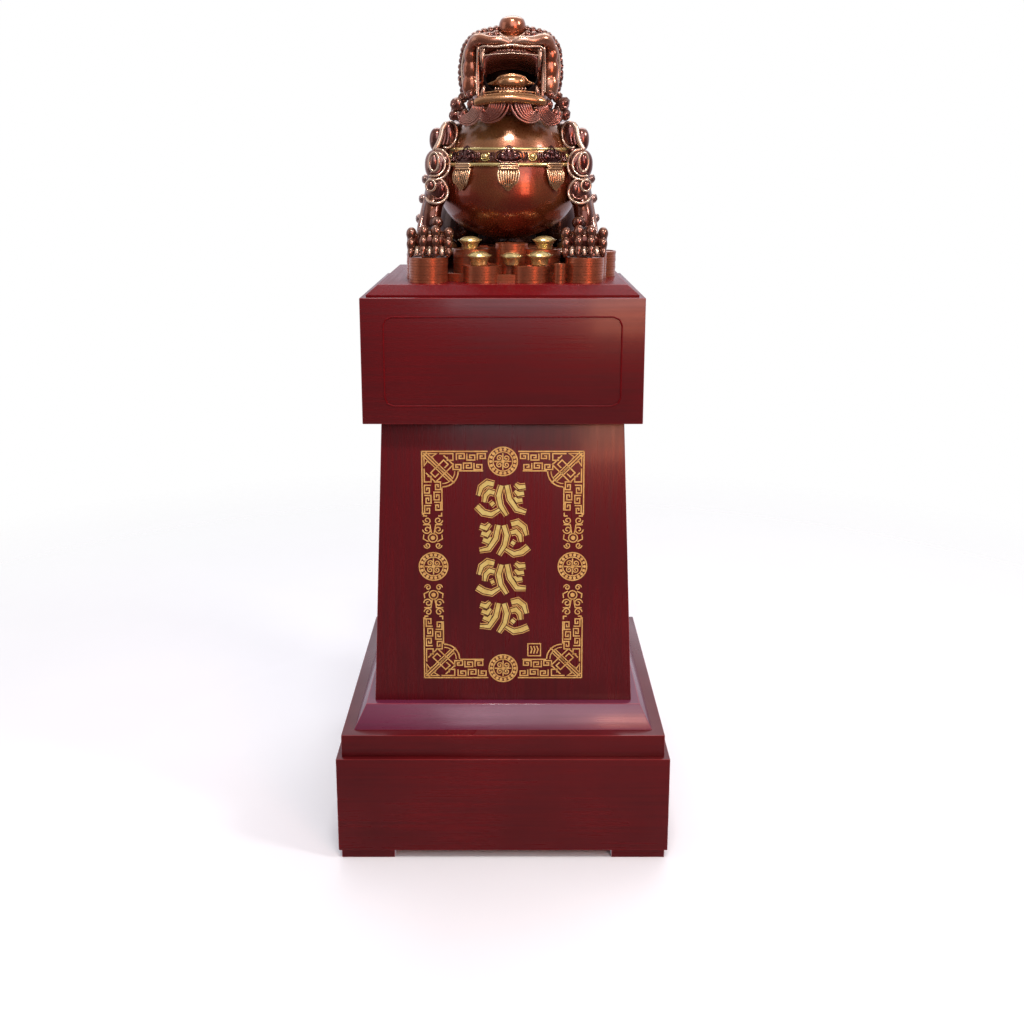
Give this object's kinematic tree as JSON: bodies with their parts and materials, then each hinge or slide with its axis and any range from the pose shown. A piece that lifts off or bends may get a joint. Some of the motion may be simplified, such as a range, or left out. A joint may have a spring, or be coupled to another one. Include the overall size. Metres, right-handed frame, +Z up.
{
  "type": "pixiu figure",
  "caption": "Seated guardian beast in bronze with an open mouth, resting on heaped coins and ingots, on a tapered lacquered wooden plinth with stepped base and box cap",
  "frame": {"origin": "centre of the square footprint, on the underside of the feet", "axes": "+Z up, the beast and the decorated side of the shaft face -Y, +X is to the right when the front is seen"},
  "size_m": [0.6, 0.6, 1.5],
  "materials": {
    "bronze": "glossy red-brown bronze patina with gold-rubbed edges",
    "lacquer": "satin dark red lacquer"
  },
  "bodies": {
    "root": {"bronze": "bronze", "foot_front_left": "lacquer", "foot_front_right": "lacquer", "foot_back_left": "lacquer", "foot_back_right": "lacquer", "base_front": "lacquer", "base_right": "lacquer", "base_back": "lacquer", "base_left": "lacquer", "step_front": "lacquer", "step_right": "lacquer", "step_back": "lacquer", "step_left": "lacquer", "splay_front": "lacquer", "splay_right": "lacquer", "splay_back": "lacquer", "splay_left": "lacquer", "shaft_front": "lacquer", "shaft_right": "lacquer", "shaft_back": "lacquer", "shaft_left": "lacquer", "cap_front": "lacquer", "cap_right": "lacquer", "cap_back": "lacquer", "cap_left": "lacquer", "cap_floor": "lacquer", "deck": "lacquer"}
  },
  "joints": []
}
